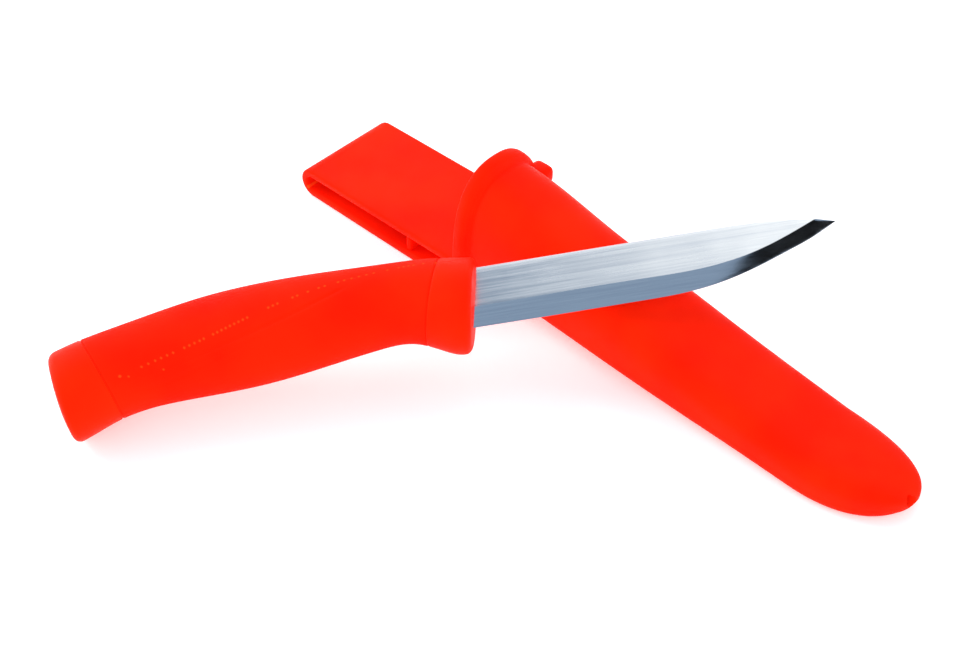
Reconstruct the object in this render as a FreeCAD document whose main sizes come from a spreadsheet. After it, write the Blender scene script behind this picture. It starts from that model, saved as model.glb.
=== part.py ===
import FreeCAD, Part
import math
import os
import Sketcher

# Fixed-blade rigging knife lying across its moulded sheath. Millimetres, +Z up, the table at z = 0.
# The sheath lies on its back along +X: belt clip at the low-X end, drain hole at the high-X end.
# The knife crosses it with the pommel on the table and the blade on the sheath's front.

os.makedirs("parts", exist_ok=True)
doc = FreeCAD.newDocument("rigging_knife")
V = FreeCAD.Vector

# ---------------------------------------------------------------- driving dimensions
DIMENSIONS = {
    # where the two halves of the set lie
    "sheath_x": -108.75, "sheath_y": 44.3,
    "knife_x": -21.21, "knife_y": 16.11, "knife_z": 27.11,
    "knife_yaw": 51.52, "knife_pitch": 5.03, "knife_roll": 12.62,
    # belt clip and the strap it folds out of
    "strap_width": 35.2, "strap_thick": 2.5, "strap_top": 10.1, "mouth_top": 11.0,
    "fold_radius": 5.05, "tongue_end": 61.0, "tongue_corner": 6.0,
    "lip_place": 42.0, "lip_thick": 2.0, "lip_gap": 0.5, "flex_gap": 0.1, "strap_root": 3.0,
    # sheath body
    "mouth_place": 67.0, "body_end": 217.5, "touch_place": 200.1, "wall": 2.0, "floor_thick": 2.5,
    "mouth_half": 15.8, "mouth_height": 28.2, "end_half": 14.7, "end_height": 8.8,
    "mouth_round": 15.2, "end_round": 5.4, "least_round": 0.8,
    "nose_long": 30.0, "nose_wall": 8.0, "nose_shift": 1.8, "flange_proud": 1.7, "flange_long": 4.6,
    "drain_radius": 1.5, "drain_start": 14.0, "drain_height": 4.6,
    "ear_long": 4.0, "ear_high": 6.0, "ear_proud": 3.2, "ear_low": 13.5, "ear_start": 2.0, "ear_root": 2.6,
    # blade
    "blade_long": 102.4, "blade_high": 19.9, "blade_thick": 2.5, "bevel_high": 6.4,
    "tip_drop": 3.3, "belly_start": 52.0, "spine_drop_start": 72.0, "shoulder": 8.0,
    "tang_long": 72.0, "tang_high": 11.0, "tang_top": 4.0, "tang_hole": 2.2, "tang_hole_place": 14.0,
    "tang_overlap": 0.5, "ridge_long": 5.8,
    # handle
    "sleeve_thick": 2.6, "core_overlap": 1.0,
}
sheet = doc.addObject("Spreadsheet::Sheet", "Dims")
for row, (word, value) in enumerate(DIMENSIONS.items(), start=1):
    sheet.set(f"A{row}", word)
    sheet.set(f"B{row}", str(value))
    sheet.setAlias(f"B{row}", word)
doc.recompute()


def dim(word):
    """A driving dimension, read back from the sheet."""
    return float(sheet.get(word))


# ---------------------------------------------------------------- helpers
QUARTER = math.pi / 2


def origin_plane(body, role):
    """One of a body's own origin planes, such as XY_Plane."""
    return next(f for f in body.Origin.OriginFeatures if f.Role == role)


def new_body(label):
    body = doc.addObject("PartDesign::Body", label)
    body.Label = label
    return body


def new_sketch(body, name, role, offset="0", shift="0"):
    """An empty sketch on an origin plane, moved by expressions along its normal and sideways."""
    sketch = body.newObject("Sketcher::SketchObject", name)
    sketch.AttachmentSupport = [(origin_plane(body, role), "")]
    sketch.MapMode = "FlatFace"
    sketch.setExpression("AttachmentOffset.Base.z", offset)
    sketch.setExpression("AttachmentOffset.Base.x", shift)
    return sketch


def polygon(sketch, points):
    """Closed chain of lines, each corner's place bound to a pair of expressions."""
    start = [V(i, (i * i) % 7, 0) for i in range(len(points))]
    for i in range(len(points)):
        sketch.addGeometry(Part.LineSegment(start[i], start[(i + 1) % len(points)]), False)
    for i in range(len(points)):
        sketch.addConstraint(Sketcher.Constraint("Coincident", i, 2, (i + 1) % len(points), 1))
    for i, (x, y) in enumerate(points):
        for kind, place, expression in (("DistanceX", "x", x), ("DistanceY", "y", y)):
            index = sketch.addConstraint(Sketcher.Constraint(kind, -1, 1, i, 1, 0.0))
            sketch.renameConstraint(index, f"{place}{i}")
            sketch.setExpression(f"Constraints.{place}{i}", expression)


def tunnel(sketch, half, floor, top, corner):
    """Arched section: flat floor, upright sides, round shoulders and a flat crown."""
    # rough sizes to draw with; the constraints below set the real ones
    h, t, r = 10.0, 15.0, 4.0
    shapes = [
        Part.LineSegment(V(-h, 0, 0), V(h, 0, 0)),
        Part.LineSegment(V(h, 0, 0), V(h, t - r, 0)),
        Part.ArcOfCircle(Part.Circle(V(h - r, t - r, 0), V(0, 0, 1), r), 0, QUARTER),
        Part.LineSegment(V(h - r, t, 0), V(r - h, t, 0)),
        Part.ArcOfCircle(Part.Circle(V(r - h, t - r, 0), V(0, 0, 1), r), QUARTER, 2 * QUARTER),
        Part.LineSegment(V(-h, t - r, 0), V(-h, 0, 0)),
    ]
    sketch.addGeometry(shapes, False)
    rules = [
        ("Coincident", 0, 2, 1, 1), ("Coincident", 5, 2, 0, 1),
        ("Tangent", 1, 2, 2, 1), ("Tangent", 2, 2, 3, 1),
        ("Tangent", 3, 2, 4, 1), ("Tangent", 4, 2, 5, 1),
        ("Vertical", 1), ("Vertical", 5), ("Horizontal", 3),
        ("Equal", 2, 4), ("Symmetric", 0, 1, 0, 2, -2),
    ]
    for rule in rules:
        sketch.addConstraint(Sketcher.Constraint(*rule))
    sizes = [
        ("half", ("DistanceX", -1, 1, 0, 2, h), half),
        ("floor", ("DistanceY", -1, 1, 0, 1, 0.0), floor),
        ("top", ("DistanceY", -1, 1, 3, 1, t), top),
        ("corner", ("Radius", 2, r), corner),
    ]
    for name, rule, expression in sizes:
        index = sketch.addConstraint(Sketcher.Constraint(*rule))
        sketch.renameConstraint(index, name)
    for name, rule, expression in sizes:
        sketch.setExpression(f"Constraints.{name}", expression)


def at_sheath(obj):
    """Bind a sheath piece's Placement: flat on the table, its fold at the low-X end."""
    place = "vector(Dims.sheath_x; Dims.sheath_y; 0)"
    obj.setExpression("Placement", f"placement({place}; rotation(0; 0; 0))")


def at_knife(obj):
    """Bind a knife piece's Placement: turned across the sheath, climbing and leaning."""
    place = "vector(Dims.knife_x; Dims.knife_y; Dims.knife_z)"
    turn = "rotation(Dims.knife_yaw; -Dims.knife_pitch; Dims.knife_roll)"
    obj.setExpression("Placement", f"placement({place}; {turn})")


# ---------------------------------------------------------------- belt clip
def belt_clip():
    """The moulding's tongue, folded back under the strap: fold, tongue and hook lip."""
    body = new_body("belt_clip")
    side = new_sketch(body, "clip_side", "XZ_Plane")
    r, w, end = dim("fold_radius"), dim("strap_thick"), dim("tongue_end")
    shapes = [
        Part.ArcOfCircle(Part.Circle(V(r, r, 0), V(0, 0, 1), r), QUARTER, 3 * QUARTER),
        Part.LineSegment(V(r, 0, 0), V(end, 0, 0)),
        Part.LineSegment(V(end, 0, 0), V(end, w, 0)),
        Part.LineSegment(V(end, w, 0), V(r, w, 0)),
        Part.ArcOfCircle(Part.Circle(V(r, r, 0), V(0, 0, 1), r - w), QUARTER, 3 * QUARTER),
        Part.LineSegment(V(r, 2 * r - w, 0), V(r, 2 * r, 0)),
    ]
    side.addGeometry(shapes, False)
    rules = [
        ("Coincident", 0, 2, 1, 1), ("Coincident", 1, 2, 2, 1), ("Coincident", 2, 2, 3, 1),
        ("Coincident", 3, 2, 4, 2), ("Coincident", 4, 1, 5, 1), ("Coincident", 5, 2, 0, 1),
        ("Coincident", 0, 3, 4, 3), ("Horizontal", 1), ("Vertical", 2), ("Horizontal", 3),
        ("Vertical", 5), ("Vertical", 0, 2, 0, 3), ("Vertical", 0, 1, 0, 3), ("Vertical", 4, 2, 4, 3),
        ("PointOnObject", 0, 2, -1),
    ]
    for rule in rules:
        side.addConstraint(Sketcher.Constraint(*rule))
    sizes = [
        ("fold", ("Radius", 0, r), "Dims.fold_radius"),
        ("inside", ("Radius", 4, r - w), "Dims.fold_radius - Dims.strap_thick"),
        ("start", ("DistanceX", -1, 1, 0, 3, r), "Dims.fold_radius"),
        ("reach", ("DistanceX", -1, 1, 1, 2, end), "Dims.tongue_end"),
    ]
    for name, rule, expression in sizes:
        side.renameConstraint(side.addConstraint(Sketcher.Constraint(*rule)), name)
        side.setExpression(f"Constraints.{name}", expression)
    pad = body.newObject("PartDesign::Pad", "clip_pad")
    pad.Profile = side
    pad.SideType = "Symmetric"
    pad.setExpression("Length", "Dims.strap_width")
    # hook lip: a low wall across the tongue that a belt snaps over
    lip = new_sketch(body, "lip_side", "XZ_Plane")
    near, far = "Dims.lip_place", "Dims.lip_place + Dims.lip_thick"
    low, high = "Dims.strap_thick / 2", "Dims.strap_top - Dims.strap_thick - Dims.lip_gap"
    polygon(lip, [(near, low), (far, low), (far, high), (near, high)])
    lip_pad = body.newObject("PartDesign::Pad", "lip_pad")
    lip_pad.Profile = lip
    lip_pad.SideType = "Symmetric"
    lip_pad.setExpression("Length", "Dims.strap_width - 2 * Dims.strap_thick")
    doc.recompute()
    corners = []
    for number, edge in enumerate(lip_pad.Shape.Edges, start=1):
        box = edge.BoundBox
        upright = box.ZLength > w - 0.01 and box.XLength < 0.01 and box.YLength < 0.01
        if upright and abs(box.XMax - end) < 0.01:
            corners.append(f"Edge{number}")
    round_end = body.newObject("PartDesign::Fillet", "tongue_round")
    round_end.Base = (lip_pad, corners)
    round_end.setExpression("Radius", "Dims.tongue_corner")
    body.Tip = round_end
    at_sheath(body)
    return body


# ---------------------------------------------------------------- sheath body
# Fractions of the way from the mouth to the end of the straight sides, with how much of the
# height taper is used up there; the crown falls fast at first and then runs nearly level.
STATIONS = [
    (0.0, 0.0), (0.16, 0.19), (0.30, 0.425), (0.44, 0.59), (0.60, 0.76), (0.80, 0.90), (1.0, 1.0),
]
# The round nose: fraction of its length, of the half width and of the height, and how far its
# underside rises as a fraction of the height.
NOSE_STATIONS = [
    (0.42, 0.91, 0.97, 0.0), (0.72, 0.70, 0.90, 0.08), (0.90, 0.45, 0.78, 0.18), (1.0, 0.22, 0.62, 0.34),
]


def pocket_stations():
    """Expressions for each section of the pocket: place, shift, half width, underside, height, corner."""
    straight = "(Dims.body_end - Dims.mouth_place - Dims.nose_long)"
    # the floor falls from the strap at the mouth to the table near the far end
    high_end = "(Dims.mouth_top - Dims.floor_thick)"
    slope = f"{high_end} / (Dims.touch_place - Dims.mouth_place)"
    stations = []
    for along, used in STATIONS:
        x = f"Dims.mouth_place + {straight} * {along}"
        half = f"Dims.mouth_half - (Dims.mouth_half - Dims.end_half) * {along}"
        floor = f"(Dims.touch_place - ({x})) * {slope}"
        high = f"Dims.mouth_height - (Dims.mouth_height - Dims.end_height) * {used}"
        corner = f"Dims.mouth_round - (Dims.mouth_round - Dims.end_round) * {used}"
        stations.append((x, "0", half, floor, high, corner))
    for along, wide, tall, lift in NOSE_STATIONS:
        x = f"Dims.body_end - Dims.nose_long * (1 - {along})"
        half = f"Dims.end_half * {wide}"
        floor = f"(Dims.touch_place - ({x})) * {slope} + Dims.end_height * {lift}"
        high = f"Dims.end_height * {tall - lift}"
        corner = f"min(Dims.end_round; {half} - 1; {high} - 1)"
        # the nose leans towards the spine side of the blade it holds
        shift = f"Dims.nose_shift * {along} * {along}"
        stations.append((x, shift, half, floor, high, corner))
    return stations


def outside_sections(body):
    """Section sketches of the pocket's outside."""
    sketches = []
    for i, (x, shift, half, floor, high, corner) in enumerate(pocket_stations()):
        sketch = new_sketch(body, f"outside_{i}", "YZ_Plane", x, shift)
        tunnel(sketch, half, floor, f"({floor}) + Dims.floor_thick + ({high})", corner)
        sketches.append(sketch)
    return sketches


def inside_sections(body):
    """Section sketches of the pocket's inside, from just outside the mouth to the nose's solid end."""
    sketches = []
    for i, (x, shift, half, floor, high, corner) in enumerate(pocket_stations()[:-1]):
        if i == 0:
            x = f"{x} - Dims.flex_gap"
        if i > len(STATIONS):
            x = f"{x} - Dims.nose_wall"
        sketch = new_sketch(body, f"inside_{i}", "YZ_Plane", x, shift)
        inner_floor = f"({floor}) + Dims.floor_thick"
        crown = f"{inner_floor} + ({high}) - Dims.wall"
        tunnel(sketch, f"({half}) - Dims.wall", inner_floor, crown,
               f"max(({corner}) - Dims.wall; Dims.least_round)")
        sketches.append(sketch)
    return sketches


def loft(body, name, kind, sections):
    feature = body.newObject(f"PartDesign::{kind}", name)
    feature.Profile = sections[0]
    feature.Sections = sections[1:]
    return feature


def sheath_body():
    """Strap, mouth flange, ear and pocket of the sheath, with a drain hole at its end."""
    body = new_body("sheath_body")
    loft(body, "pocket_outside", "AdditiveLoft", outside_sections(body))
    # strap: the back wall carried on past the mouth to the fold
    strap = new_sketch(body, "strap_side", "XZ_Plane")
    start = "Dims.fold_radius + Dims.flex_gap"
    end = "Dims.mouth_place + Dims.strap_root"
    polygon(strap, [
        (start, "Dims.strap_top - Dims.strap_thick"), (end, "Dims.mouth_top - Dims.strap_thick"),
        (end, "Dims.mouth_top"), (start, "Dims.strap_top"),
    ])
    pad = body.newObject("PartDesign::Pad", "strap_pad")
    pad.Profile = strap
    pad.SideType = "Symmetric"
    pad.setExpression("Length", "Dims.strap_width")
    # flange round the mouth
    rim = new_sketch(body, "flange_section", "YZ_Plane", "Dims.mouth_place")
    tunnel(rim, "Dims.mouth_half + Dims.flange_proud", "Dims.mouth_top - Dims.floor_thick",
           "Dims.mouth_top + Dims.mouth_height + Dims.flange_proud", "Dims.mouth_round + Dims.flange_proud")
    flange = body.newObject("PartDesign::Pad", "flange")
    flange.Profile = rim
    flange.setExpression("Length", "Dims.flange_long")
    # ear behind the flange on the +Y side
    ear = new_sketch(body, "ear_section", "XZ_Plane", "-(Dims.mouth_half + Dims.ear_proud)")
    near = "Dims.mouth_place + Dims.ear_start"
    far = "Dims.mouth_place + Dims.flange_long + Dims.ear_long"
    low = "Dims.mouth_top + Dims.ear_low"
    high = "Dims.mouth_top + Dims.ear_low + Dims.ear_high"
    polygon(ear, [(near, low), (far, low), (far, high), (near, high)])
    ear_pad = body.newObject("PartDesign::Pad", "ear")
    ear_pad.Profile = ear
    ear_pad.setExpression("Length", "Dims.ear_proud + Dims.ear_root")
    doc.recompute()
    solid = ear_pad.Shape.Volume
    loft(body, "pocket_inside", "SubtractiveLoft", inside_sections(body))
    # drain hole through the end wall
    drain = new_sketch(body, "drain_circle", "YZ_Plane", "Dims.body_end - Dims.drain_start")
    drain.addGeometry(Part.Circle(V(0, 6, 0), V(0, 0, 1), dim("drain_radius")), False)
    drain.addConstraint(Sketcher.Constraint("PointOnObject", 0, 3, -2))
    for name, rule, expression in (
        ("radius", ("Radius", 0, 1.5), "Dims.drain_radius"),
        ("height", ("DistanceY", -1, 1, 0, 3, 6.0), "Dims.drain_height"),
    ):
        drain.renameConstraint(drain.addConstraint(Sketcher.Constraint(*rule)), name)
        drain.setExpression(f"Constraints.{name}", expression)
    hole = body.newObject("PartDesign::Pocket", "drain_hole")
    hole.Profile = drain
    hole.Reversed = True
    hole.setExpression("Length", "Dims.nose_long")
    doc.recompute()
    if hole.Shape.Volume >= solid:
        raise RuntimeError("the pocket was not cut")
    at_sheath(body)
    return body


# ---------------------------------------------------------------- blade
def belly_curve(points, end_slope):
    """Smooth curve that leaves the straight part of the blade along +X and rises to its last point."""
    curve = Part.BSplineCurve()
    curve.interpolate(Points=points, InitialTangent=V(1, 0, 0), FinalTangent=end_slope)
    return curve.toShape()


def raised(shape, z):
    """A copy of the shape, moved up."""
    copy = shape.copy()
    copy.translate(V(0, 0, z))
    return copy


def ground_blade():
    """Flat sides, two straight bevels, a rising belly and a spine that drops to the tip."""
    long, high, half = dim("blade_long"), dim("blade_high"), dim("blade_thick") / 2
    heel, bevel, belly = -dim("shoulder"), dim("bevel_high"), dim("belly_start")
    rise, drop_start = long - belly, dim("spine_drop_start")
    tip = V(long, -dim("tip_drop"), 0)
    meet = V(long - dim("ridge_long"), -0.7 * dim("tip_drop"), 0)
    # the cutting edge and the bevel's upper line, straight and then curved
    edge_line = Part.makeLine(V(heel, -high, 0), V(belly, -high, 0))
    edge_curve = belly_curve(
        [V(belly, -high, 0), V(belly + 0.42 * rise, -0.82 * high, 0),
         V(belly + 0.70 * rise, -0.55 * high, 0), tip], V(0.84, 0.54, 0))
    bevel_line = Part.makeLine(V(heel, bevel - high, 0), V(belly, bevel - high, 0))
    bevel_curve = belly_curve(
        [V(belly, bevel - high, 0), V(belly + 0.41 * rise, -0.60 * high, 0),
         V(belly + 0.66 * rise, -0.41 * high, 0), meet], V(0.88, 0.47, 0))
    # the spine
    spine = Part.makeLine(V(heel, 0, 0), V(drop_start, 0, 0))
    halfway = V((drop_start + meet.x) / 2, 0.27 * meet.y, 0)
    drop = Part.Arc(V(drop_start, 0, 0), halfway, meet).toShape()
    back = Part.makeLine(V(heel, 0, 0), V(heel, bevel - high, 0))
    faces = []
    for side in (half, -half):
        outline = [raised(line, side) for line in (spine, drop, bevel_curve, bevel_line, back)]
        faces.append(Part.Face(Part.Wire(Part.sortEdges(outline)[0])))
        faces.append(Part.makeRuledSurface(raised(bevel_line, side), edge_line))
        faces.append(Part.makeRuledSurface(raised(bevel_curve, side), edge_curve))
    for line in (spine, drop):
        faces.append(raised(line, -half).extrude(V(0, 0, 2 * half)))
    up, down = meet + V(0, 0, half), meet - V(0, 0, half)
    faces.append(Part.Face(Part.makePolygon([up, tip, down, up])))
    corners = [
        V(heel, 0, half), V(heel, bevel - high, half), V(heel, -high, 0),
        V(heel, bevel - high, -half), V(heel, 0, -half), V(heel, 0, half),
    ]
    faces.append(Part.Face(Part.makePolygon(corners)))
    shell = Part.Shell(faces)
    shell.sewShape()
    solid = Part.Solid(shell)
    if solid.Volume < 0:
        solid.reverse()
    return solid


def blade():
    """Ground blade with its tang, which has a hole for the handle plastic to lock through."""
    long, high, thick = dim("tang_long"), dim("tang_high"), dim("blade_thick")
    bottom = -dim("tang_top") - high
    reach = long - dim("shoulder") + dim("tang_overlap")
    tang = Part.makeBox(reach, high, thick, V(-long, bottom, -thick / 2))
    hole_place = V(dim("tang_hole_place") - long, bottom + high / 2, -thick)
    hole = Part.makeCylinder(dim("tang_hole"), 2 * thick, hole_place)
    feature = doc.addObject("Part::Feature", "blade_blank")
    feature.Shape = ground_blade().fuse(tang).removeSplitter().cut(hole)
    return feature


# ---------------------------------------------------------------- handle
# Along the handle from the pommel to the guard: place, top and bottom of the section, half thickness.
HANDLE_SECTIONS = [
    (-124.0, -8.6, -37.2, 10.8), (-112.0, -4.7, -33.4, 11.5), (-103.0, -2.2, -29.8, 10.6),
    (-92.0, 0.5, -27.8, 10.6), (-78.0, 3.4, -27.5, 11.0), (-62.0, 4.9, -26.3, 11.3),
    (-46.0, 5.1, -23.4, 11.1), (-30.0, 4.5, -20.4, 10.6), (-20.0, 4.3, -20.6, 10.3),
    (-13.5, 3.9, -24.2, 10.8), (-8.0, 2.9, -26.2, 11.6), (-3.0, 2.0, -25.0, 11.3),
    (1.5, 1.2, -23.4, 10.4),
]
# Slanted planes across the handle, each as its place on the blade's spine line and its lean.
END_PLANE = (-122.4, -0.235)
POMMEL_SEAM = (-113.6, -0.42)
GUARD_SEAM = (-10.4, 0.33)
FRONT_PLANE = (-0.1, 0.21)
# How far a cutting prism reaches past the handle: above, below and to each side.
CLEAR_TOP, CLEAR_BOTTOM, CLEAR_SIDE = 20.0, -50.0, 25.0


def handle_loft(name, inset):
    """Loft through elliptical sections across the handle, each inset all round by an expression."""
    rings = []
    for i, (x, top, bottom, half) in enumerate(HANDLE_SECTIONS):
        ring = doc.addObject("Part::Ellipse", f"{name}_ring_{i}")
        ring.setExpression("MajorRadius", f"{(top - bottom) / 2} - {inset}")
        ring.setExpression("MinorRadius", f"{half} - {inset}")
        upright = FreeCAD.Rotation(V(0, 1, 0), V(0, 0, 1), V(1, 0, 0))
        ring.Placement = FreeCAD.Placement(V(x, (top + bottom) / 2, 0), upright)
        rings.append(ring)
    made = doc.addObject("Part::Loft", name)
    made.Sections = rings
    made.Solid = True
    return made


def zone(name, rear, front):
    """Prism through the handle between two slanted planes."""
    def across(plane, y):
        return V(plane[0] + plane[1] * y, y, -CLEAR_SIDE)

    outline = doc.addObject("Part::Polygon", f"{name}_outline")
    outline.Nodes = [across(rear, CLEAR_BOTTOM), across(front, CLEAR_BOTTOM),
                     across(front, CLEAR_TOP), across(rear, CLEAR_TOP)]
    outline.Close = True
    prism = doc.addObject("Part::Extrusion", name)
    prism.Base = outline
    prism.Dir = V(0, 0, 2 * CLEAR_SIDE)
    prism.Solid = True
    return prism


def boolean(kind, name, shapes):
    made = doc.addObject(f"Part::{kind}", name)
    if kind in ("Cut", "Common"):
        made.Base, made.Tool = shapes
    else:
        made.Shapes = shapes
    return made


def handle(blank_blade):
    """Hard core with the guard and pommel on its ends, and the soft sleeve moulded round it."""
    blank = handle_loft("handle_blank", "0")
    bone = handle_loft("core_blank", "Dims.sleeve_thick")
    guard = boolean("Common", "guard", [blank, zone("guard_zone", GUARD_SEAM, FRONT_PLANE)])
    pommel = boolean("Common", "pommel", [blank, zone("pommel_zone", END_PLANE, POMMEL_SEAM)])
    inner_rear = (POMMEL_SEAM[0] - dim("core_overlap"), POMMEL_SEAM[1])
    inner_front = (GUARD_SEAM[0] + dim("core_overlap"), GUARD_SEAM[1])
    middle = boolean("Common", "core_middle", [bone, zone("middle_zone", inner_rear, inner_front)])
    plastic = boolean("MultiFuse", "core_solid", [guard, middle, pommel])
    core = boolean("Cut", "handle_core", [plastic, blank_blade])
    grip = boolean("Common", "grip_blank", [blank, zone("grip_zone", POMMEL_SEAM, GUARD_SEAM)])
    sleeve = boolean("Cut", "grip_sleeve", [grip, bone])
    return core, sleeve


# ---------------------------------------------------------------- build, check and write
clip = belt_clip()
sheath = sheath_body()
blank_blade = blade()
core, sleeve = handle(blank_blade)
steel = doc.addObject("Part::Feature", "blade")
steel.Shape = blank_blade.Shape
for piece in (steel, core, sleeve):
    piece.Label = piece.Name
    at_knife(piece)
doc.recompute()
for obj in doc.Objects:
    if "Invalid" in obj.State or "Error" in obj.State:
        raise RuntimeError(f"{obj.Label} did not compute: {obj.State}")
for obj in (clip, sheath, steel, core, sleeve):
    shape = obj.Shape
    if shape.isNull() or not shape.isValid():
        raise RuntimeError(f"{obj.Label} is not a valid solid")
    shape.exportStep(f"parts/{obj.Label}.step")
    box = shape.optimalBoundingBox()
    corners = [box.XMin, box.XMax, box.YMin, box.YMax, box.ZMin, box.ZMax]
    print(obj.Label, "solids", len(shape.Solids), "volume", round(shape.Volume),
          "box", [round(value, 2) for value in corners])
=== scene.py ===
"""A fixed-blade rigging knife with an orange grip, lying across its orange moulded sheath."""

import math

import bmesh
import bpy
import numpy as np
from mathutils import Matrix, Vector


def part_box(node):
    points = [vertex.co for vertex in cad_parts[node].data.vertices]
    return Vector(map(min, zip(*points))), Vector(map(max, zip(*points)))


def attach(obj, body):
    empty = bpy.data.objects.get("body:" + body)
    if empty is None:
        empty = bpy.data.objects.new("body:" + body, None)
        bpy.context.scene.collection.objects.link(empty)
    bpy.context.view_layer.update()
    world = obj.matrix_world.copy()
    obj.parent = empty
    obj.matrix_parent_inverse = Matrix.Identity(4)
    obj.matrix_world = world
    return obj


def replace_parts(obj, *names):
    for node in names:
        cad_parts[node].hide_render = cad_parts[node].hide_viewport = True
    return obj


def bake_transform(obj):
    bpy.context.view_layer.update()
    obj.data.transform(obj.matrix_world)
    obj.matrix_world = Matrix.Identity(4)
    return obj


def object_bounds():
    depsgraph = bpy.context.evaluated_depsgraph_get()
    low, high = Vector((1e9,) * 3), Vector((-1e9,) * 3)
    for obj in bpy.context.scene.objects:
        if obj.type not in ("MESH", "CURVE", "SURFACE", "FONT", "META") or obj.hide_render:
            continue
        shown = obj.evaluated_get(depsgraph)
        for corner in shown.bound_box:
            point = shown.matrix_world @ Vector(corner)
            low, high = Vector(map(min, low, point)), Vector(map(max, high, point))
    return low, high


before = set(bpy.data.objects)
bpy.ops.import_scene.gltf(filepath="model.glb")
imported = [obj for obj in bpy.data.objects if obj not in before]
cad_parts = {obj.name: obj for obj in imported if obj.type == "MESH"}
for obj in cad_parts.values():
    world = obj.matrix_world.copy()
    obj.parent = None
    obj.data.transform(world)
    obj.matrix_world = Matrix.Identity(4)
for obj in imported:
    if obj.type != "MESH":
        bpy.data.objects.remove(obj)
cad_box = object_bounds()

# ------------------------------------------------------------ sizes, in millimetres unless said otherwise
MM = 0.001

# how the knife is turned: it points across the sheath, climbs a little and leans on its edge side
KNIFE_YAW, KNIFE_PITCH, KNIFE_ROLL = 51.52, 5.03, 12.62      # degrees

# sheath, along its length from the fold of the belt clip
MOUTH, NOSE_START, SHEATH_END = 67.0, 187.5, 217.5
WALL, FLOOR_THICK = 2.0, 2.5
UNDERSIDE_AT_MOUTH, UNDERSIDE_TOUCHES = 8.5, 200.1
HALF_WIDTH = [(67, 15.8), (100, 15.7), (125, 15.75), (145, 15.55), (165, 15.0), (187.5, 14.6)]
HEIGHT = [(67, 30.1), (75, 28.9), (93, 25.2), (111, 21.0), (129, 17.5), (147, 14.7), (165, 13.0),
          (187.5, 11.3)]
ARCH_POWER = [(67, 2.4), (85, 2.95), (105, 3.15), (130, 4.0), (160, 4.4), (187.5, 4.2)]
FOOT_RADIUS = 2.6
NOSE_PLAN_POWER, NOSE_TOP_POWER, NOSE_FLOOR_POWER, NOSE_MIDDLE = 2.2, 4.2, 3.0, 0.55
NOSE_SHIFT = 2.0
POCKET_START, POCKET_END, BODY_START, BODY_STEP = 72.0, 208.0, 75.0, 1.5
POCKET_RINGS, NOSE_RINGS, SHEATH_SHARP = 60, 28, 45
DRAIN_RADIUS, DRAIN_HEIGHT, DRAIN_SIDES = 1.4, 6.3, 24
# the drain hole from inside out: place, and radius as a share of DRAIN_RADIUS
DRAIN_STEPS = [(203.0, 1.0), (216.3, 1.0), (217.0, 1.35), (219.0, 2.4)]
EAR_LOW, EAR_HIGH, EAR_RADIUS = (68.5, 12.0, 23.7), (75.6, 18.8, 29.8), 2.0
# rim of the mouth: place, how far outside the body's line, how far above the underside
RIM = [
    (69.2, -2.0, 2.5), (68.2, -2.0, 2.5), (67.5, -1.85, 2.4), (67.15, -1.4, 2.1), (67.0, -0.8, 1.8),
    (67.0, 0.7, 0.9), (67.12, 1.35, 0.5), (67.5, 1.8, 0.15), (68.1, 2.0, 0.0), (69.4, 2.0, 0.0),
    (70.4, 1.85, 0.0), (71.0, 1.4, 0.0), (71.4, 0.7, 0.0), (71.6, 0.1, 0.0), (71.85, -0.25, 0.0),
    (72.3, -0.35, 0.0), (72.9, -0.2, 0.0), (73.8, 0.0, 0.0),
]

# belt clip ribbon
STRAP_WIDTH, STRAP_THICK, STRAP_TOP, MOUTH_TOP = 35.2, 2.5, 10.1, 11.0
FOLD_RADIUS, TONGUE_END, TONGUE_CORNER, RIBBON_EDGE = 5.05, 61.0, 6.0, 0.8
RIBBON_START, RIBBON_LIFT, STRAIGHT_END, FOLD_RUN = 69.5, 0.03, 2.0, 2
# how the strap closes inside the sheath floor: distance from its start, and how much slimmer it is
RIBBON_TAPER = [(0.0, 0.35), (0.25, 0.1), (0.8, 0.0)]
TONGUE_TIP, TONGUE_THINS = 0.8, 1.2
STRAP_RINGS, FOLD_RINGS, TONGUE_RINGS, CORNER_RINGS = 34, 31, 26, 12
LIP_PLACE, LIP_THICK, LIP_BOTTOM, LIP_TOP, LIP_HALF, LIP_RADIUS = 47.5, 2.0, 1.0, 7.3, 16.6, 0.6

# blade, along its length from the guard
BLADE_LONG, BLADE_HALF_THICK, BLADE_HEEL, BEVEL_MEET = 102.4, 1.25, -7.0, 96.6
SPINE = [(-8, -0.8), (40, -0.8), (66, -0.8), (72, -0.83), (81.5, -1.2), (92.7, -2.45), (102.4, -4.1)]
EDGE = [(-8, -19.7), (16, -19.9), (42, -19.9), (52, -19.8), (62, -18.9), (73.2, -16.3), (87.4, -11.2),
        (95.5, -7.8), (102.4, -4.1)]
SHOULDER = [(-8, -13.7), (20, -13.5), (42, -13.5), (60.9, -13.4), (72.7, -11.8), (85.1, -8.0), (91.5, -5.3),
            (96.6, -3.05)]
BELLY_START, SHOULDER_ROUND, SHOULDER_SEGMENTS = 50, 0.22, 3
STRAIGHT_RINGS, BELLY_RINGS, TIP_RINGS, FLAT_STEPS, BEVEL_STEPS = 30, 60, 16, 8, 5
SHOULDER_ANGLE, BLADE_SHARP = 6, 25      # degrees
# how far a face leans from the blade's side, as a slope, for it to be part of the bevel
BEVEL_LEAST, BEVEL_MOST = 0.12, 2.0

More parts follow.
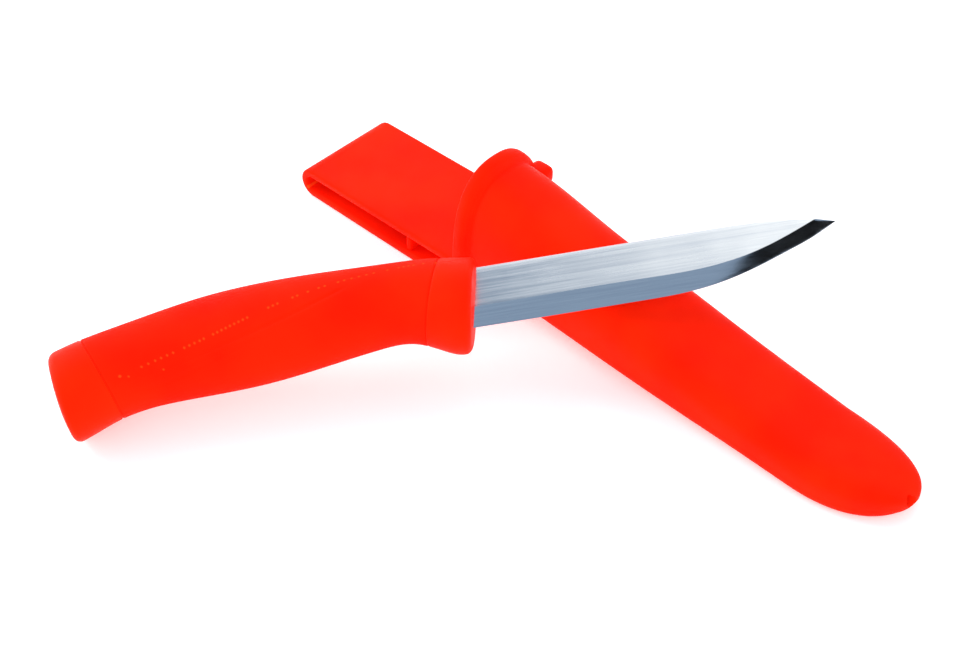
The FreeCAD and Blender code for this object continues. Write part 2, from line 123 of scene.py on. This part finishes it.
# handle: place, top and bottom of the section, half thickness
HANDLE = [
    (-126, -9.9, -38.2, 10.4), (-112, -4.9, -32.8, 11.5), (-103, -2.3, -28.9, 10.6), (-92, 0.3, -26.6, 10.6),
    (-78, 3.2, -26.0, 11.0), (-62, 4.8, -25.2, 11.3), (-46, 5.0, -22.8, 11.1), (-30, 4.5, -20.1, 10.6),
    (-20, 4.3, -20.4, 10.3), (-13.5, 3.9, -23.7, 10.8), (-8, 2.9, -26.1, 11.5), (-4, 2.2, -25.3, 11.3),
    (1.5, 1.2, -20.9, 10.4),
]
# slanted planes across the handle: place on the spine line, and lean
POMMEL_END, POMMEL_SEAM = (-122.2, -0.21), (-113.6, -0.42)
GUARD_SEAM, GUARD_FRONT = (-10.4, 0.33), (-0.1, 0.21)
SEAM_DEPTH, SEAM_HALF, SEAM_GAP = 0.3, 0.6, 0.05
# how far below the surface the ends and the sleeve close, out of sight
END_UNDER, SLEEVE_UNDER = 3.0, 3.2
# the rounding of each end, how far its face domes, and how far in from the rim the dome reaches
GUARD_ROUND, GUARD_DOME, POMMEL_ROUND, POMMEL_DOME, DOME_REACH = 1.6, 0.3, 2.4, 0.8, 8.6
# shallow lines moulded into both sides of the grip
GRIP_LINES = [
    [(-99.6, -22.3), (-86.2, -21.3), (-71.1, -18.1), (-62.3, -15.9), (-51.9, -12.7), (-36.0, -6.5)],
    [(-97.6, -25.5), (-90.0, -24.6), (-82.6, -23.4), (-72.0, -20.9), (-63.0, -18.4)],
]
GRIP_LINE_DEPTH, GRIP_LINE_HALF, GRIP_LINE_FADE = 0.22, 0.5, 4.0

# points nearer than this are one point, and edges shorter than this are dropped, in metres
SAME_POINT, LEAST_EDGE = 2e-6, 1e-6


# ------------------------------------------------------------ places
def knife_turn():
    """The knife's own axes in the row frame: x to the tip, y to the spine, z out of the upper side."""
    yaw = Matrix.Rotation(math.radians(KNIFE_YAW), 4, "Z")
    pitch = Matrix.Rotation(math.radians(-KNIFE_PITCH), 4, "Y")
    roll = Matrix.Rotation(math.radians(KNIFE_ROLL), 4, "X")
    return yaw @ pitch @ roll


def knife_place():
    """Where the knife lies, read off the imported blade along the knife's own axes."""
    turn = knife_turn()
    back = turn.inverted()
    local = np.array([back @ v.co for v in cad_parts["blade"].data.vertices])
    tip, spine = local[:, 0].max(), local[:, 1].max()
    middle = (local[:, 2].max() + local[:, 2].min()) / 2
    return turn @ Matrix.Translation((tip - BLADE_LONG * MM, spine, middle))


def sheath_place():
    """Where the sheath lies: its fold at the clip's low-X side, its middle line halfway across the clip."""
    low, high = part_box("belt_clip")
    return Matrix.Translation((low.x, (low.y + high.y) / 2, 0))


# ------------------------------------------------------------ curves and meshes
def spline(points):
    """Natural cubic spline through (place, value) pairs."""
    x, y = np.array(points, float).T
    step, count = np.diff(x), len(x)
    system, right = np.eye(count), np.zeros(count)
    for i in range(1, count - 1):
        system[i, i - 1:i + 2] = step[i - 1], 2 * (step[i - 1] + step[i]), step[i]
        right[i] = 6 * ((y[i + 1] - y[i]) / step[i] - (y[i] - y[i - 1]) / step[i - 1])
    bend = np.linalg.solve(system, right)

    def value(at):
        at = np.asarray(at, float)
        i = np.clip(np.searchsorted(x, at) - 1, 0, count - 2)
        a, b = (x[i + 1] - at) / step[i], (at - x[i]) / step[i]
        curve = (a ** 3 - a) * bend[i] + (b ** 3 - b) * bend[i + 1]
        return a * y[i] + b * y[i + 1] + curve * step[i] ** 2 / 6

    return value


def evenly(points, count):
    """A closed outline's points, spaced evenly along it."""
    loop = np.vstack([points, points[:1]])
    along = np.concatenate([[0], np.cumsum(np.linalg.norm(np.diff(loop, axis=0), axis=1))])
    at = np.linspace(0, along[-1], count, endpoint=False)
    return np.stack([np.interp(at, along, loop[:, k]) for k in range(loop.shape[1])], axis=1)


def piece(name, points, faces, place, materials, sharp=40):
    """A mesh object from local millimetre points, set down at place in the shared frame."""
    mesh = bpy.data.meshes.new(name)
    mesh.from_pydata([tuple(MM * c for c in p) for p in points], [], faces)
    work = bmesh.new()
    work.from_mesh(mesh)
    bmesh.ops.remove_doubles(work, verts=work.verts, dist=SAME_POINT)
    bmesh.ops.dissolve_degenerate(work, edges=work.edges, dist=LEAST_EDGE)
    bmesh.ops.recalc_face_normals(work, faces=work.faces)
    work.to_mesh(mesh)
    work.free()
    mesh.transform(place)
    for material in materials:
        mesh.materials.append(material)
    mesh.shade_smooth()
    mesh.set_sharp_from_angle(angle=math.radians(sharp))
    made = bpy.data.objects.new(name, mesh)
    bpy.context.scene.collection.objects.link(made)
    return made


def skin(rings):
    """Points and faces of a closed skin through rings of equal length, each end closed to its middle."""
    rings = np.asarray(rings, float)
    count, around = rings.shape[:2]
    points = [tuple(p) for ring in rings for p in ring]
    faces = []
    for i in range(count - 1):
        for j in range(around):
            k = (j + 1) % around
            faces.append((i * around + j, i * around + k, (i + 1) * around + k, (i + 1) * around + j))
    for ring, start in ((rings[0], 0), (rings[-1], (count - 1) * around)):
        middle = len(points)
        points.append(tuple(ring.mean(axis=0)))
        faces += [(start + j, start + (j + 1) % around, middle) for j in range(around)]
    return points, faces


def apply_modifiers(obj):
    """Fix the object's modifiers into its mesh."""
    graph = bpy.context.evaluated_depsgraph_get()
    final = bpy.data.meshes.new_from_object(obj.evaluated_get(graph))
    obj.modifiers.clear()
    obj.data = final
    return obj


# ------------------------------------------------------------ sheath moulding
half_width, height, arch_power = spline(HALF_WIDTH), spline(HEIGHT), spline(ARCH_POWER)


def underside(t):
    return UNDERSIDE_AT_MOUTH * (UNDERSIDE_TOUCHES - t) / (UNDERSIDE_TOUCHES - MOUTH)


def sheath_section(t, outward, raised, around=128):
    """Section across the sheath at t: flat floor, rounded feet and an arch, moved outward and raised."""
    along = min(t, NOSE_START)
    half, tall, power = float(half_width(along)), float(height(along)), float(arch_power(along))
    low = underside(t)
    into = max(0.0, (t - NOSE_START) / (SHEATH_END - NOSE_START))
    plan = math.sqrt(max(0.0, 1 - into ** NOSE_PLAN_POWER))
    upper = math.sqrt(max(0.0, 1 - into ** NOSE_TOP_POWER))
    under = math.sqrt(max(0.0, 1 - into ** NOSE_FLOOR_POWER))
    top = low + tall * (NOSE_MIDDLE + (1 - NOSE_MIDDLE) * upper) + outward
    floor = low + tall * NOSE_MIDDLE * (1 - under) + raised
    half = half * plan + outward
    foot = min(FOOT_RADIUS, 0.9 * half, 0.45 * (top - floor))
    turn = np.linspace(0, math.pi / 2, 60)
    base = floor + foot
    foot_w, foot_z = half - foot + foot * np.sin(turn), base - foot * np.cos(turn)
    arch_w, arch_z = half * np.cos(turn) ** (2 / power), base + (top - base) * np.sin(turn) ** (2 / power)
    w = np.concatenate([[0], foot_w, arch_w[1:]])
    z = np.concatenate([[floor], foot_z, arch_z[1:]])
    outline = np.stack([np.concatenate([w, -w[-2:0:-1]]), np.concatenate([z, z[-2:0:-1]])], axis=1)
    wz = evenly(outline, around)
    wz[:, 0] += NOSE_SHIFT * into ** 2
    return np.column_stack([np.full(around, t), wz])


def sheath_moulding(place, material):
    """Pocket, collar and nose as one hollow moulding."""
    rings = [sheath_section(t, -WALL, FLOOR_THICK) for t in np.linspace(POCKET_END, POCKET_START, POCKET_RINGS)]
    rings += [sheath_section(*spec) for spec in RIM]
    rings += [sheath_section(t, 0, 0) for t in np.arange(BODY_START, NOSE_START, BODY_STEP)]
    closing = np.sin(np.linspace(0, math.pi / 2, NOSE_RINGS))
    rings += [sheath_section(NOSE_START + (SHEATH_END - NOSE_START) * share, 0, 0) for share in closing[:-1]]
    rings.append(sheath_section(SHEATH_END - 0.01, 0, 0))
    points, faces = skin(rings)
    body = piece("sheath_moulding", points, faces, place, [material])
    turn = np.linspace(0, 2 * math.pi, DRAIN_SIDES, endpoint=False)
    hole = [np.column_stack([np.full(DRAIN_SIDES, t), DRAIN_RADIUS * wide * np.cos(turn),
                             DRAIN_HEIGHT + DRAIN_RADIUS * wide * np.sin(turn)]) for t, wide in DRAIN_STEPS]
    drill = piece("drain_drill", *skin(hole), place, [material])
    cut = body.modifiers.new("drain", "BOOLEAN")
    cut.operation, cut.solver, cut.object = "DIFFERENCE", "EXACT", drill
    apply_modifiers(body)
    bpy.data.objects.remove(drill)
    body.data.shade_smooth()
    body.data.set_sharp_from_angle(angle=math.radians(SHEATH_SHARP))
    return body


# ------------------------------------------------------------ belt clip
def ribbon_section(centre, normal, half, thick, around_edge=5, across=22):
    """Rounded strip section: centre and normal are in the sheath's side plane (length, height)."""
    edge = min(RIBBON_EDGE, thick / 2 - 0.01, half / 2)
    outline = []
    for side_w, side_n, start in ((1, 1, 0.0), (-1, 1, 0.5), (-1, -1, 1.0), (1, -1, 1.5)):
        for turn in np.linspace(start * math.pi, (start + 0.5) * math.pi, around_edge):
            outline.append((side_w * (half - edge) + edge * math.cos(turn),
                            side_n * (thick / 2 - edge) + edge * math.sin(turn)))
        if side_w * side_n > 0:
            stretch = np.linspace(side_w * (half - edge), -side_w * (half - edge), across)[1:-1]
            outline += [(w, side_n * thick / 2) for w in stretch]
    return [(centre[0] + n * normal[0], w, centre[1] + n * normal[1]) for w, n in outline]


def clip_ribbon(place, material):
    """Strap, fold and tongue in one strip of even thickness."""
    half = STRAP_WIDTH / 2
    rise = (MOUTH_TOP - STRAP_TOP) / (MOUTH - FOLD_RADIUS)
    inner = STRAP_THICK / 2
    rings = []
    for along, slimmer in RIBBON_TAPER:
        t = RIBBON_START - along
        middle = STRAP_TOP + rise * (t - FOLD_RADIUS) - inner + RIBBON_LIFT
        rings.append(ribbon_section((t, middle), (0, 1), half - slimmer, STRAP_THICK - slimmer))
    for t in np.linspace(RIBBON_START - STRAIGHT_END, FOLD_RADIUS + FOLD_RUN, STRAP_RINGS):
        middle = STRAP_TOP + rise * (t - FOLD_RADIUS) - inner
        rings.append(ribbon_section((t, middle), (0, 1), half, STRAP_THICK))
    for turn in np.linspace(0, math.pi, FOLD_RINGS):
        normal = (-math.sin(turn), math.cos(turn))
        reach = FOLD_RADIUS - inner
        centre = (FOLD_RADIUS + reach * normal[0], FOLD_RADIUS + reach * normal[1])
        rings.append(ribbon_section(centre, normal, half, STRAP_THICK))
    for t in np.linspace(FOLD_RADIUS + FOLD_RUN, TONGUE_END - TONGUE_CORNER, TONGUE_RINGS):
        rings.append(ribbon_section((t, inner), (0, -1), half, STRAP_THICK))
    for turn in np.linspace(0, math.pi / 2, CORNER_RINGS)[1:-1]:
        t = TONGUE_END - TONGUE_CORNER * (1 - math.sin(turn))
        narrow = half - TONGUE_CORNER * (1 - math.cos(turn))
        thin = STRAP_THICK - TONGUE_THINS * max(0.0, (t - TONGUE_END + TONGUE_TIP) / TONGUE_TIP) ** 2
        rings.append(ribbon_section((t, inner), (0, -1), narrow, thin))
    return piece("belt_clip_ribbon", *skin(rings), place, [material], sharp=60)


def rounded_block(name, low, high, radius, place, material, segments=4):
    """A moulded block with rounded edges."""
    low, high = Vector(low), Vector(high)
    work = bmesh.new()
    bmesh.ops.create_cube(work, size=1.0)
    for v in work.verts:
        v.co = Vector(low[k] + (v.co[k] + 0.5) * (high[k] - low[k]) for k in range(3))
    bmesh.ops.bevel(work, geom=work.edges[:], offset=radius, segments=segments, profile=0.5, affect="EDGES")
    points = [tuple(v.co) for v in work.verts]
    work.verts.index_update()
    faces = [tuple(v.index for v in f.verts) for f in work.faces]
    work.free()
    return piece(name, points, faces, place, [material], sharp=50)


# ------------------------------------------------------------ blade
def knife_blade(place, flat_steel, bevel_steel):
    """Flat-sided blade with one straight bevel on each side, up to a ridge that ends at the tip."""
    spine, edge, shoulder = spline(SPINE), spline(EDGE), spline(SHOULDER)
    places = np.concatenate([
        np.linspace(BLADE_HEEL, BELLY_START, STRAIGHT_RINGS)[:-1],
        np.linspace(BELLY_START, BEVEL_MEET, BELLY_RINGS)[:-1],
        BEVEL_MEET + (BLADE_LONG - BEVEL_MEET) * np.sin(np.linspace(0, math.pi / 2, TIP_RINGS)),
    ])
    rings = []
    for x in places:
        top, low = float(spine(x)), float(edge(x))
        ridge = float(shoulder(x)) if x < BEVEL_MEET else top
        half = BLADE_HALF_THICK * min(1.0, (BLADE_LONG - x) / (BLADE_LONG - BEVEL_MEET))
        ridge, low = min(ridge, top), min(low, top)
        upper = [(top + (ridge - top) * s, half) for s in np.linspace(0, 1, FLAT_STEPS)]
        upper += [(ridge + (low - ridge) * s, half * (1 - s)) for s in np.linspace(0, 1, BEVEL_STEPS)[1:]]
        lower = [(y, -z) for y, z in upper[-2::-1]]
        rings.append([(x, y, z) for y, z in upper + lower])
    points, faces = skin(rings)
    blade = piece("knife_blade", points, faces, place, [flat_steel, bevel_steel], sharp=SHOULDER_ANGLE)
    rounding = blade.modifiers.new("rounding", "BEVEL")
    rounding.limit_method, rounding.angle_limit = "ANGLE", math.radians(SHOULDER_ANGLE)
    rounding.width, rounding.segments = SHOULDER_ROUND * MM, SHOULDER_SEGMENTS
    apply_modifiers(blade)
    back = place.to_3x3().inverted()
    for face in blade.data.polygons:
        normal = back @ face.normal
        leaning = math.hypot(normal.x, normal.y) / max(abs(normal.z), 1e-6)
        face.material_index = int(BEVEL_LEAST < leaning < BEVEL_MOST)
    blade.data.shade_smooth()
    blade.data.set_sharp_from_angle(angle=math.radians(BLADE_SHARP))
    return blade


# ------------------------------------------------------------ handle
handle_top = spline([(x, top) for x, top, bottom, half in HANDLE])
handle_bottom = spline([(x, bottom) for x, top, bottom, half in HANDLE])
handle_half = spline([(x, half) for x, top, bottom, half in HANDLE])


def handle_ring(plane, inset, around, dome=0.0):
    """Section of the handle on a slanted plane, inset all round; dome pushes it along the handle."""
    turn = np.linspace(0, 2 * math.pi, around, endpoint=False)
    x = np.full(around, plane[0])
    for _ in range(8):
        middle = (handle_top(x) + handle_bottom(x)) / 2
        tall = np.maximum((handle_top(x) - handle_bottom(x)) / 2 - inset, 0.01)
        y = middle + tall * np.sin(turn)
        x = plane[0] + plane[1] * y + dome
    z = np.maximum(handle_half(x) - inset, 0.01) * np.cos(turn)
    return np.column_stack([x, y, z])


def between(rear, front, share):
    return tuple(a + (b - a) * share for a, b in zip(rear, front))


def moved(plane, along):
    return (plane[0] + along, plane[1])


def end_rings(plane, outward, radius, dome, around):
    """Rings that round over a handle end and close it: outward is +1 to the front, -1 to the rear."""
    rings = []
    for turn in np.linspace(0, math.pi / 2, 8):
        place = moved(plane, outward * (radius * (math.sin(turn) - 1)))
        rings.append(handle_ring(place, radius * (1 - math.cos(turn)), around))
    for share in np.linspace(0, 1, 9)[1:]:
        inset = radius + share * DOME_REACH
        rings.append(handle_ring(plane, inset, around, outward * dome * (1 - (1 - share) ** 2)))
    return rings


def handle_end(name, seam, face, outward, radius, dome, place, material, around=144):
    """Guard or pommel: hard plastic between the grip's seam and the handle's end."""
    rings = [handle_ring(moved(seam, -outward * END_UNDER), END_UNDER, around)]
    rings.append(handle_ring(moved(seam, outward * SEAM_GAP), END_UNDER, around))
    rings.append(handle_ring(moved(seam, outward * SEAM_GAP), SEAM_DEPTH, around))
    for share in np.linspace(0, 1, 6)[1:]:
        step = share * SEAM_HALF
        inset = SEAM_DEPTH * (1 - math.sin(share * math.pi / 2))
        rings.append(handle_ring(moved(seam, outward * (SEAM_GAP + step)), inset, around))
    last = moved(face, -outward * radius)
    first = moved(seam, outward * (SEAM_GAP + SEAM_HALF))
    rings += [handle_ring(between(first, last, share), 0, around) for share in np.linspace(0, 1, 16)[1:-1]]
    rings += end_rings(face, outward, radius, dome, around)
    return piece(name, *skin(rings), place, [material], sharp=35)


def line_depth(x, y, lines):
    """How deep the grip's moulded lines are at each point of its side."""
    depth = np.zeros_like(x)
    for line in lines:
        path = spline(line)
        start, end = line[0][0], line[-1][0]
        inside = np.clip(np.minimum(x - start, end - x) / GRIP_LINE_FADE, 0, 1)
        away = np.abs(y - path(np.clip(x, start, end)))
        depth = np.maximum(depth, inside * np.exp(-(away / GRIP_LINE_HALF) ** 2))
    return GRIP_LINE_DEPTH * depth


def grip_sleeve(place, material, around=288, count=300):
    """Soft sleeve between the two seams, with its moulded lines."""
    rings = [handle_ring(POMMEL_SEAM, SLEEVE_UNDER, around)]
    for share in np.linspace(0, 1, count):
        plane = between(POMMEL_SEAM, GUARD_SEAM, share)
        near = min(share, 1 - share) * (GUARD_SEAM[0] - POMMEL_SEAM[0])
        inset = SEAM_DEPTH * (1 - math.sin(min(1.0, near / SEAM_HALF) * math.pi / 2))
        ring = handle_ring(plane, inset, around)
        ring[:, 2] -= np.sign(ring[:, 2]) * line_depth(ring[:, 0], ring[:, 1], GRIP_LINES)
        rings.append(ring)
    rings.append(handle_ring(GUARD_SEAM, SLEEVE_UNDER, around))
    return piece("grip_sleeve_skin", *skin(rings), place, [material], sharp=35)


# ------------------------------------------------------------ materials
class Nodes:
    """A material's node tree, built a node at a time."""

    def __init__(self, name):
        self.material = bpy.data.materials.new(name)
        self.material.use_nodes = True
        self.tree = self.material.node_tree
        self.shader = self.tree.nodes["Principled BSDF"]

    def node(self, kind, inputs=(), **settings):
        made = self.tree.nodes.new(kind)
        for key, value in settings.items():
            setattr(made, key, value)
        for name, value in dict(inputs).items():
            if isinstance(value, bpy.types.NodeSocket):
                self.tree.links.new(value, made.inputs[name])
            else:
                made.inputs[name].default_value = value
        return made

    def noise(self, scale, detail, roughness=0.5, stretch=(1, 1, 1), turn=(0, 0, 0)):
        """Noise that sits on the object, stretched along axes turned from the shared frame's."""
        place = self.node("ShaderNodeTexCoord").outputs["Object"]
        place = self.node("ShaderNodeMapping", {"Vector": place, "Rotation": turn, "Scale": stretch},
                          vector_type="TEXTURE").outputs["Vector"]
        return self.node("ShaderNodeTexNoise", {
            "Vector": place, "Scale": scale, "Detail": detail, "Roughness": roughness,
        }).outputs["Fac"]

    def spread(self, value, low, high, start=0.3, end=0.7):
        """Turn a 0 to 1 pattern into a number between low and high."""
        return self.node("ShaderNodeMapRange", {
            "Value": value, "From Min": start, "From Max": end, "To Min": low, "To Max": high,
        }).outputs["Result"]

    def blend(self, share, first, second):
        """Mix two colours by share."""
        made = self.node("ShaderNodeMix", data_type="RGBA")
        for index, value in ((6, first), (7, second)):
            if isinstance(value, bpy.types.NodeSocket):
                self.tree.links.new(value, made.inputs[index])
            else:
                made.inputs[index].default_value = value
        self.tree.links.new(share, made.inputs[0])
        return made.outputs[2]

    def feed(self, name, value):
        if isinstance(value, bpy.types.NodeSocket):
            self.tree.links.new(value, self.shader.inputs[name])
        else:
            self.shader.inputs[name].default_value = value

    def bump(self, layers):
        """Stack bumps, each a (pattern, depth in metres, strength)."""
        normal = None
        for pattern, depth, strength in layers:
            inputs = {"Height": pattern, "Distance": depth, "Strength": strength}
            if normal:
                inputs["Normal"] = normal
            normal = self.node("ShaderNodeBump", inputs).outputs["Normal"]
        self.feed("Normal", normal)


# plastic, in linear light: main colour, deeper patches, and a paler orange painted along the edges as a
# highlight
SHEATH_ORANGE = (1.0, 0.017, 0.002, 1), (0.93, 0.010, 0.0015, 1), (1.0, 0.09, 0.012, 1)
HANDLE_ORANGE = (1.0, 0.019, 0.002, 1), (0.94, 0.012, 0.0015, 1), (1.0, 0.09, 0.012, 1)
GRIP_ORANGE = (1.0, 0.015, 0.002, 1), (0.92, 0.009, 0.0015, 1), (1.0, 0.08, 0.010, 1)
SHEEN_TINT = (1.0, 0.30, 0.08, 1)
# steel: light and dark grain
FLAT_STEEL = (0.86, 0.88, 0.90, 1), (0.60, 0.64, 0.70, 1)
BEVEL_STEEL = (0.90, 0.93, 0.97, 1), (0.74, 0.78, 0.84, 1)
# how finely each pattern varies, in waves per metre
CLOUD_WAVES, HANDLED_WAVES, DENT_WAVES, STEEL_CLOUD_WAVES = 38, 120, 260, 55
# edges get the painted highlight between these pointiness values, and then this much paler
EDGE_HIGHLIGHT_START, EDGE_HIGHLIGHT_FULL, EDGE_HIGHLIGHT_SHARE = 0.56, 0.64, 0.6
ROUGHNESS_SWING, GRAIN_STRETCH = 0.07, (50, 1, 1)


def moulded_plastic(name, colour, deep, painted_edge_colour, roughness, grain, specular):
    """Orange plastic: cloudy colour, fine grain, and a paler painted highlight along its edges."""
    nodes = Nodes(name)
    cloud = nodes.spread(nodes.noise(CLOUD_WAVES, 3), 0, 1, 0.35, 0.65)
    base = nodes.blend(cloud, deep, colour)
    # painted highlight: the sharpest edges are mixed towards a paler orange, standing in for light catching
    # them
    edges = nodes.node("ShaderNodeNewGeometry").outputs["Pointiness"]
    painted_edge_share = nodes.spread(edges, 0, EDGE_HIGHLIGHT_SHARE, EDGE_HIGHLIGHT_START, EDGE_HIGHLIGHT_FULL)
    nodes.feed("Base Color", nodes.blend(painted_edge_share, base, painted_edge_colour))
    handled = nodes.noise(HANDLED_WAVES, 5)
    nodes.feed("Roughness", nodes.spread(handled, roughness - ROUGHNESS_SWING, roughness + ROUGHNESS_SWING))
    nodes.feed("Specular IOR Level", specular)
    nodes.feed("Specular Tint", SHEEN_TINT)
    fine = nodes.noise(grain, 4, 0.6)
    dents = nodes.noise(DENT_WAVES, 2)
    nodes.bump([(dents, 0.0004, 0.08), (fine, 0.00012, 0.35)])
    return nodes


def brushed_steel(name, light, dark, low, high, grain):
    """Steel with its grain along the blade, and cloudy wear."""
    nodes = Nodes(name)
    lines = nodes.noise(grain, 6, 0.7, stretch=GRAIN_STRETCH, turn=knife_turn().to_euler())
    cloud = nodes.noise(STEEL_CLOUD_WAVES, 3)
    nodes.feed("Base Color", nodes.blend(nodes.spread(lines, 0, 1), dark, light))
    nodes.feed("Metallic", 1.0)
    mixed = nodes.node("ShaderNodeMath", {0: lines, 1: cloud}, operation="ADD").outputs[0]
    nodes.feed("Roughness", nodes.spread(mixed, low, high, 0.7, 1.3))
    nodes.bump([(lines, 0.00004, 0.25)])
    return nodes


# ------------------------------------------------------------ stage
def flat_plane(name, size, height, material):
    work = bmesh.new()
    bmesh.ops.create_grid(work, x_segments=4, y_segments=4, size=size)
    mesh = bpy.data.meshes.new(name)
    work.to_mesh(mesh)
    work.free()
    mesh.materials.append(material)
    made = bpy.data.objects.new(name, mesh)
    bpy.context.scene.collection.objects.link(made)
    made.location.z = height
    return made


def area_light(name, place, target, size, power):
    lamp = bpy.data.lights.new(name, "AREA")
    lamp.shape, lamp.size, lamp.energy = "DISK", size, power
    made = bpy.data.objects.new(name, lamp)
    bpy.context.scene.collection.objects.link(made)
    made.location = place
    made.rotation_euler = (Vector(target) - Vector(place)).to_track_quat("-Z", "Y").to_euler()


# panels on the studio dome: direction, then where the full panel ends and its soft rim ends, in degrees
BRIGHT_PART, BRIGHT_CORE, BRIGHT_RIM = (-0.13, 0.44, 0.89), 9.0, 17.0
LINE_PART, LINE_CORE, LINE_RIM = (-0.10, 0.11, 0.989), 2.5, 6.0
DARK_PART, DARK_CORE, DARK_RIM = (0.355, 0.20, 0.915), 8.5, 11.0
DOME_SIDES, DOME_TOP = (1.5, 1.5, 1.5, 1), (0.25, 0.335, 0.445, 1)
DOME_BRIGHT, DOME_LINE, DOME_DARK = (1.35, 1.36, 1.34, 1), (0.5, 0.58, 0.66, 1), (0.004, 0.004, 0.004, 1)
# height on the dome where the ceiling begins and where it is full
CEILING_START, CEILING_FULL = 0.72, 0.90
KEY_PLACE, KEY_SIZE, KEY_POWER = (-1.1, -0.35, 0.9), 0.7, 7
TABLE_PALE, TABLE_SHADE, TABLE_GLOW = (0.96, 0.96, 0.96, 1), (0.93, 0.93, 0.93, 1), 0.3


def dome():
    """Pale walls, a cooler ceiling, and on it a bright, a half-bright and a dark panel."""
    world = bpy.data.worlds.new("studio")
    bpy.context.scene.world = world
    world.use_nodes = True
    tree = world.node_tree
    way = tree.nodes.new("ShaderNodeTexCoord").outputs["Generated"]

    def link(kind, inputs, **settings):
        made = tree.nodes.new(kind)
        for key, value in settings.items():
            setattr(made, key, value)
        for name, value in inputs.items():
            if isinstance(value, bpy.types.NodeSocket):
                tree.links.new(value, made.inputs[name])
            else:
                made.inputs[name].default_value = value
        return made

    def share(value, start, end):
        return link("ShaderNodeMapRange", {"Value": value, "From Min": start, "From Max": end},
                    interpolation_type="SMOOTHSTEP").outputs["Result"]

    def near(direction, core, rim):
        closeness = link("ShaderNodeVectorMath", {0: way, 1: Vector(direction).normalized()},
                         operation="DOT_PRODUCT").outputs["Value"]
        return share(closeness, math.cos(math.radians(rim)), math.cos(math.radians(core)))

    height = link("ShaderNodeSeparateXYZ", {"Vector": way}).outputs["Z"]
    layers = [
        (share(height, CEILING_START, CEILING_FULL), DOME_TOP),
        (near(BRIGHT_PART, BRIGHT_CORE, BRIGHT_RIM), DOME_BRIGHT),
        (near(LINE_PART, LINE_CORE, LINE_RIM), DOME_LINE),
        (near(DARK_PART, DARK_CORE, DARK_RIM), DOME_DARK),
    ]
    colour = DOME_SIDES
    for amount, over in layers:
        colour = link("ShaderNodeMix", {0: amount, 6: colour, 7: over}, data_type="RGBA").outputs[2]
    tree.links.new(colour, tree.nodes["Background"].inputs["Color"])


def studio():
    """White table under the dome, with one soft light from the far left."""
    table = Nodes("table_paper")
    shade = table.spread(table.noise(9, 2), 0, 1)
    table.feed("Base Color", table.blend(shade, TABLE_SHADE, TABLE_PALE))
    table.feed("Roughness", 0.9)
    table.feed("Specular IOR Level", 0.1)
    table.feed("Emission Color", (1, 1, 1, 1))
    table.feed("Emission Strength", TABLE_GLOW)
    flat_plane("table", 6.0, cad_box[0].z - 0.00005, table.material)
    dome()
    area_light("key", KEY_PLACE, (0, 0, 0), KEY_SIZE, KEY_POWER)


CAMERA_TARGET = (-22.08, 22.11, 0.0)
CAMERA_AZIMUTH, CAMERA_ELEVATION, CAMERA_AWAY = 43.2, 43.835, 495.65
CAMERA_LENS = 61.88


def camera():
    """The camera, seen from the front right and above."""
    azimuth, elevation = math.radians(CAMERA_AZIMUTH), math.radians(CAMERA_ELEVATION)
    back = Vector((math.sin(azimuth) * math.cos(elevation), -math.cos(azimuth) * math.cos(elevation),
                   math.sin(elevation)))
    lens = bpy.data.cameras.new("camera")
    lens.lens, lens.sensor_width = CAMERA_LENS, 36.0
    lens.clip_start, lens.clip_end = 0.01, 50
    made = bpy.data.objects.new("camera", lens)
    bpy.context.scene.collection.objects.link(made)
    made.location = (Vector(CAMERA_TARGET) + back * CAMERA_AWAY) * MM
    made.rotation_euler = (-back).to_track_quat("-Z", "Y").to_euler()
    bpy.context.scene.camera = made


# ------------------------------------------------------------ build
camera()
studio()
sheath_plastic = moulded_plastic("sheath_orange", *SHEATH_ORANGE, roughness=0.50, grain=2600,
                                 specular=0.045).material
hard_plastic = moulded_plastic("handle_orange", *HANDLE_ORANGE, roughness=0.46, grain=2200,
                               specular=0.045).material
soft_grip = moulded_plastic("grip_orange", *GRIP_ORANGE, roughness=0.62, grain=3400, specular=0.035).material
flat_steel = brushed_steel("brushed_flat", *FLAT_STEEL, low=0.16, high=0.32, grain=900).material
bevel_steel = brushed_steel("ground_bevel", *BEVEL_STEEL, low=0.09, high=0.15, grain=1500).material

on_sheath, on_knife = sheath_place(), knife_place()

moulding = sheath_moulding(on_sheath, sheath_plastic)
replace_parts(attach(moulding, "sheath"), "sheath_body")

ear = rounded_block("collar_ear", EAR_LOW, EAR_HIGH, EAR_RADIUS, on_sheath, sheath_plastic)
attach(ear, "sheath")

ribbon = clip_ribbon(on_sheath, sheath_plastic)
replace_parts(ribbon, "belt_clip")
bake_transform(ribbon)

lip = rounded_block("clip_hook_lip", (LIP_PLACE - LIP_THICK / 2, -LIP_HALF, LIP_BOTTOM),
                    (LIP_PLACE + LIP_THICK / 2, LIP_HALF, LIP_TOP), LIP_RADIUS, on_sheath, sheath_plastic)
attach(lip, "clip")

blade = knife_blade(on_knife, flat_steel, bevel_steel)
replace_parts(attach(blade, "knife"), "blade")

guard = handle_end("knife_guard", GUARD_SEAM, GUARD_FRONT, 1, GUARD_ROUND, GUARD_DOME, on_knife, hard_plastic)
pommel = handle_end("knife_pommel", POMMEL_SEAM, POMMEL_END, -1, POMMEL_ROUND, POMMEL_DOME, on_knife,
                    hard_plastic)
for end in (guard, pommel):
    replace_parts(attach(end, "knife"), "handle_core")

sleeve = grip_sleeve(on_knife, soft_grip)
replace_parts(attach(sleeve, "knife"), "grip_sleeve")

bpy.context.scene.view_settings.view_transform = "Standard"
